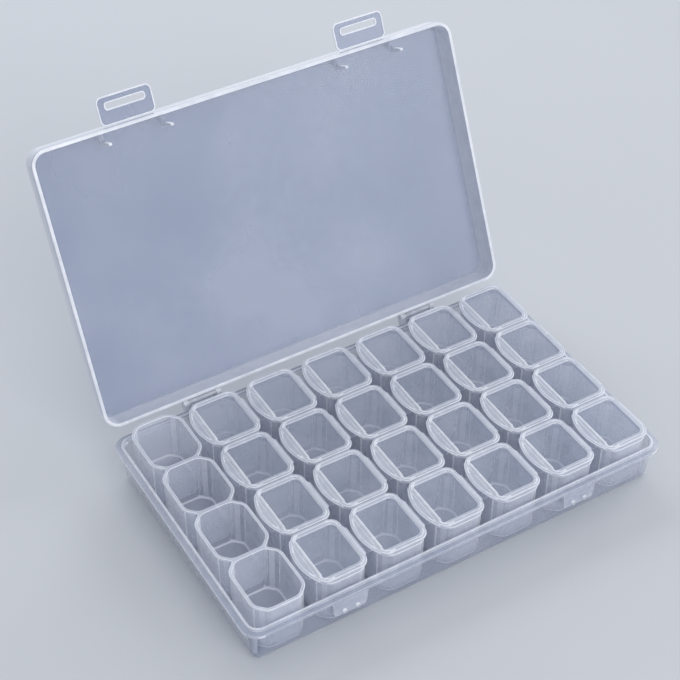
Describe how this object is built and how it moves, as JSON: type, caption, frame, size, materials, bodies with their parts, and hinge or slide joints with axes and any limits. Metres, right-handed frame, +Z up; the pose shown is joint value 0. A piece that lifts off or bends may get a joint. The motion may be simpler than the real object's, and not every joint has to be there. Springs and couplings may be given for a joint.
{
  "type": "compartment storage box",
  "caption": "Shallow translucent organiser box with a hinged latching lid, lift-out strips of small square cups and flip-top cup lids with finger tabs.",
  "frame": {"origin": "centre of the tray's underside", "axes": "+X along the box to the right, +Y to the hinge side at the back, +Z up"},
  "size_m": [0.175, 0.1617, 0.1284],
  "materials": {
    "tray_plastic": "translucent natural polypropylene, satin",
    "lid_plastic": "translucent natural polypropylene, gloss",
    "cup_plastic": "translucent natural polypropylene, satin",
    "cup_lid_plastic": "translucent natural polypropylene, satin"
  },
  "bodies": {
    "base_tray": {"base_tray": "tray_plastic"},
    "main_lid": {"main_lid": "lid_plastic"},
    "latch_left": {"latch_left": "lid_plastic"},
    "latch_right": {"latch_right": "lid_plastic"},
    "cup_strip_1": {"cup_strip_1": "cup_plastic"},
    "cup_strip_2": {"cup_strip_2": "cup_plastic"},
    "cup_strip_3": {"cup_strip_3": "cup_plastic"},
    "cup_strip_4": {"cup_strip_4": "cup_plastic"},
    "cup_strip_5": {"cup_strip_5": "cup_plastic"},
    "cup_strip_6": {"cup_strip_6": "cup_plastic"},
    "cup_strip_7": {"cup_strip_7": "cup_plastic"},
    "cup_lid_2_1": {"cup_lid_2_1": "cup_lid_plastic"},
    "cup_lid_2_2": {"cup_lid_2_2": "cup_lid_plastic"},
    "cup_lid_2_3": {"cup_lid_2_3": "cup_lid_plastic"},
    "cup_lid_2_4": {"cup_lid_2_4": "cup_lid_plastic"},
    "cup_lid_3_1": {"cup_lid_3_1": "cup_lid_plastic"},
    "cup_lid_3_2": {"cup_lid_3_2": "cup_lid_plastic"},
    "cup_lid_3_3": {"cup_lid_3_3": "cup_lid_plastic"},
    "cup_lid_3_4": {"cup_lid_3_4": "cup_lid_plastic"},
    "cup_lid_4_1": {"cup_lid_4_1": "cup_lid_plastic"},
    "cup_lid_4_2": {"cup_lid_4_2": "cup_lid_plastic"},
    "cup_lid_4_3": {"cup_lid_4_3": "cup_lid_plastic"},
    "cup_lid_4_4": {"cup_lid_4_4": "cup_lid_plastic"},
    "cup_lid_5_1": {"cup_lid_5_1": "cup_lid_plastic"},
    "cup_lid_5_2": {"cup_lid_5_2": "cup_lid_plastic"},
    "cup_lid_5_3": {"cup_lid_5_3": "cup_lid_plastic"},
    "cup_lid_5_4": {"cup_lid_5_4": "cup_lid_plastic"},
    "cup_lid_6_1": {"cup_lid_6_1": "cup_lid_plastic"},
    "cup_lid_6_2": {"cup_lid_6_2": "cup_lid_plastic"},
    "cup_lid_6_3": {"cup_lid_6_3": "cup_lid_plastic"},
    "cup_lid_6_4": {"cup_lid_6_4": "cup_lid_plastic"},
    "cup_lid_7_1": {"cup_lid_7_1": "cup_lid_plastic"},
    "cup_lid_7_2": {"cup_lid_7_2": "cup_lid_plastic"},
    "cup_lid_7_3": {"cup_lid_7_3": "cup_lid_plastic"},
    "cup_lid_7_4": {"cup_lid_7_4": "cup_lid_plastic"}
  },
  "joints": [
    {"name": "main_lid_hinge", "type": "hinge", "parent": "base_tray", "child": "main_lid", "pos_m": [0, 0.0553, 0.0187], "axis": [-1, 0, 0], "range_deg": [-115, 0]},
    {"name": "latch_left_fold", "type": "hinge", "parent": "main_lid", "child": "latch_left", "pos_m": [-0.0484, 0.1001, 0.11857], "axis": [-1, 0, 0], "range_deg": [-90, 0]},
    {"name": "latch_right_fold", "type": "hinge", "parent": "main_lid", "child": "latch_right", "pos_m": [0.0484, 0.1001, 0.11857], "axis": [-1, 0, 0], "range_deg": [-90, 0]},
    {"name": "cup_strip_1_lift", "type": "slide", "parent": "base_tray", "child": "cup_strip_1", "axis": [0, 0, 1], "range_m": [0, 0.03]},
    {"name": "cup_strip_2_lift", "type": "slide", "parent": "base_tray", "child": "cup_strip_2", "axis": [0, 0, 1], "range_m": [0, 0.03]},
    {"name": "cup_strip_3_lift", "type": "slide", "parent": "base_tray", "child": "cup_strip_3", "axis": [0, 0, 1], "range_m": [0, 0.03]},
    {"name": "cup_strip_4_lift", "type": "slide", "parent": "base_tray", "child": "cup_strip_4", "axis": [0, 0, 1], "range_m": [0, 0.03]},
    {"name": "cup_strip_5_lift", "type": "slide", "parent": "base_tray", "child": "cup_strip_5", "axis": [0, 0, 1], "range_m": [0, 0.03]},
    {"name": "cup_strip_6_lift", "type": "slide", "parent": "base_tray", "child": "cup_strip_6", "axis": [0, 0, 1], "range_m": [0, 0.03]},
    {"name": "cup_strip_7_lift", "type": "slide", "parent": "base_tray", "child": "cup_strip_7", "axis": [0, 0, 1], "range_m": [0, 0.03]},
    {"name": "cup_lid_2_1_hinge", "type": "hinge", "parent": "cup_strip_2", "child": "cup_lid_2_1", "pos_m": [-0.0376, -0.03728, 0.0221], "axis": [0, 1, 0], "range_deg": [0, 95]},
    {"name": "cup_lid_2_2_hinge", "type": "hinge", "parent": "cup_strip_2", "child": "cup_lid_2_2", "pos_m": [-0.0376, -0.01243, 0.0221], "axis": [0, 1, 0], "range_deg": [0, 95]},
    {"name": "cup_lid_2_3_hinge", "type": "hinge", "parent": "cup_strip_2", "child": "cup_lid_2_3", "pos_m": [-0.0376, 0.01243, 0.0221], "axis": [0, 1, 0], "range_deg": [0, 95]},
    {"name": "cup_lid_2_4_hinge", "type": "hinge", "parent": "cup_strip_2", "child": "cup_lid_2_4", "pos_m": [-0.0376, 0.03728, 0.0221], "axis": [0, 1, 0], "range_deg": [0, 95]},
    {"name": "cup_lid_3_1_hinge", "type": "hinge", "parent": "cup_strip_3", "child": "cup_lid_3_1", "pos_m": [-0.0134, -0.03728, 0.0221], "axis": [0, 1, 0], "range_deg": [0, 95]},
    {"name": "cup_lid_3_2_hinge", "type": "hinge", "parent": "cup_strip_3", "child": "cup_lid_3_2", "pos_m": [-0.0134, -0.01243, 0.0221], "axis": [0, 1, 0], "range_deg": [0, 95]},
    {"name": "cup_lid_3_3_hinge", "type": "hinge", "parent": "cup_strip_3", "child": "cup_lid_3_3", "pos_m": [-0.0134, 0.01243, 0.0221], "axis": [0, 1, 0], "range_deg": [0, 95]},
    {"name": "cup_lid_3_4_hinge", "type": "hinge", "parent": "cup_strip_3", "child": "cup_lid_3_4", "pos_m": [-0.0134, 0.03728, 0.0221], "axis": [0, 1, 0], "range_deg": [0, 95]},
    {"name": "cup_lid_4_1_hinge", "type": "hinge", "parent": "cup_strip_4", "child": "cup_lid_4_1", "pos_m": [0.0108, -0.03728, 0.0221], "axis": [0, 1, 0], "range_deg": [0, 95]},
    {"name": "cup_lid_4_2_hinge", "type": "hinge", "parent": "cup_strip_4", "child": "cup_lid_4_2", "pos_m": [0.0108, -0.01243, 0.0221], "axis": [0, 1, 0], "range_deg": [0, 95]},
    {"name": "cup_lid_4_3_hinge", "type": "hinge", "parent": "cup_strip_4", "child": "cup_lid_4_3", "pos_m": [0.0108, 0.01243, 0.0221], "axis": [0, 1, 0], "range_deg": [0, 95]},
    {"name": "cup_lid_4_4_hinge", "type": "hinge", "parent": "cup_strip_4", "child": "cup_lid_4_4", "pos_m": [0.0108, 0.03728, 0.0221], "axis": [0, 1, 0], "range_deg": [0, 95]},
    {"name": "cup_lid_5_1_hinge", "type": "hinge", "parent": "cup_strip_5", "child": "cup_lid_5_1", "pos_m": [0.035, -0.03728, 0.0221], "axis": [0, 1, 0], "range_deg": [0, 95]},
    {"name": "cup_lid_5_2_hinge", "type": "hinge", "parent": "cup_strip_5", "child": "cup_lid_5_2", "pos_m": [0.035, -0.01243, 0.0221], "axis": [0, 1, 0], "range_deg": [0, 95]},
    {"name": "cup_lid_5_3_hinge", "type": "hinge", "parent": "cup_strip_5", "child": "cup_lid_5_3", "pos_m": [0.035, 0.01243, 0.0221], "axis": [0, 1, 0], "range_deg": [0, 95]},
    {"name": "cup_lid_5_4_hinge", "type": "hinge", "parent": "cup_strip_5", "child": "cup_lid_5_4", "pos_m": [0.035, 0.03728, 0.0221], "axis": [0, 1, 0], "range_deg": [0, 95]},
    {"name": "cup_lid_6_1_hinge", "type": "hinge", "parent": "cup_strip_6", "child": "cup_lid_6_1", "pos_m": [0.0592, -0.03728, 0.0221], "axis": [0, 1, 0], "range_deg": [0, 95]},
    {"name": "cup_lid_6_2_hinge", "type": "hinge", "parent": "cup_strip_6", "child": "cup_lid_6_2", "pos_m": [0.0592, -0.01243, 0.0221], "axis": [0, 1, 0], "range_deg": [0, 95]},
    {"name": "cup_lid_6_3_hinge", "type": "hinge", "parent": "cup_strip_6", "child": "cup_lid_6_3", "pos_m": [0.0592, 0.01243, 0.0221], "axis": [0, 1, 0], "range_deg": [0, 95]},
    {"name": "cup_lid_6_4_hinge", "type": "hinge", "parent": "cup_strip_6", "child": "cup_lid_6_4", "pos_m": [0.0592, 0.03728, 0.0221], "axis": [0, 1, 0], "range_deg": [0, 95]},
    {"name": "cup_lid_7_1_hinge", "type": "hinge", "parent": "cup_strip_7", "child": "cup_lid_7_1", "pos_m": [0.0834, -0.03728, 0.0221], "axis": [0, 1, 0], "range_deg": [0, 95]},
    {"name": "cup_lid_7_2_hinge", "type": "hinge", "parent": "cup_strip_7", "child": "cup_lid_7_2", "pos_m": [0.0834, -0.01243, 0.0221], "axis": [0, 1, 0], "range_deg": [0, 95]},
    {"name": "cup_lid_7_3_hinge", "type": "hinge", "parent": "cup_strip_7", "child": "cup_lid_7_3", "pos_m": [0.0834, 0.01243, 0.0221], "axis": [0, 1, 0], "range_deg": [0, 95]},
    {"name": "cup_lid_7_4_hinge", "type": "hinge", "parent": "cup_strip_7", "child": "cup_lid_7_4", "pos_m": [0.0834, 0.03728, 0.0221], "axis": [0, 1, 0], "range_deg": [0, 95]}
  ]
}
